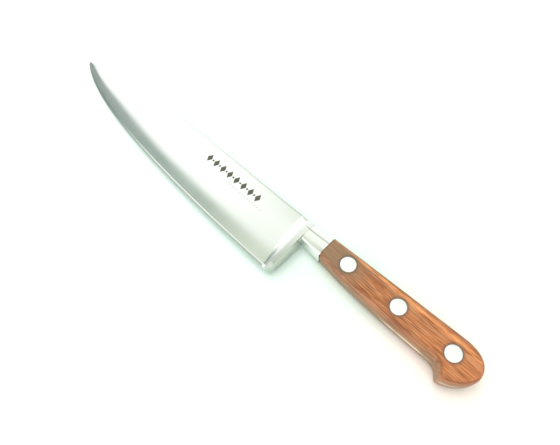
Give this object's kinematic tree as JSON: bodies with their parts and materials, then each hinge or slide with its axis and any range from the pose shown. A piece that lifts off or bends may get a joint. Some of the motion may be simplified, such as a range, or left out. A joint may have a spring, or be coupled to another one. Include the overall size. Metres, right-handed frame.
{
  "type": "chef knife",
  "caption": "Forged full-tang chef knife with a tapered blade, full finger guard, faceted neck, riveted wooden scales and a curved butt.",
  "frame": {"origin": "under the middle of the knife's box, on the plane that the right cheek of the handle rests on", "axes": "+X from the tip to the butt, +Y from the cutting edge to the spine, +Z out of the left side of the blade"},
  "size_m": [0.3314, 0.0438, 0.017],
  "materials": {
    "forged_steel": "stainless blade steel, fine satin grind on the blade, brighter polish on the guard and neck",
    "oiled_wood": "oiled orange-brown hardwood, straight fine grain along the handle",
    "rivet_metal": "polished flush rivet heads"
  },
  "bodies": {
    "root": {"blade_forging": "forged_steel", "handle_scale_left": "oiled_wood", "handle_scale_right": "oiled_wood", "front_rivet_pin": "rivet_metal", "front_rivet_sleeve": "rivet_metal", "middle_rivet_pin": "rivet_metal", "middle_rivet_sleeve": "rivet_metal", "rear_rivet_pin": "rivet_metal", "rear_rivet_sleeve": "rivet_metal"}
  },
  "joints": []
}
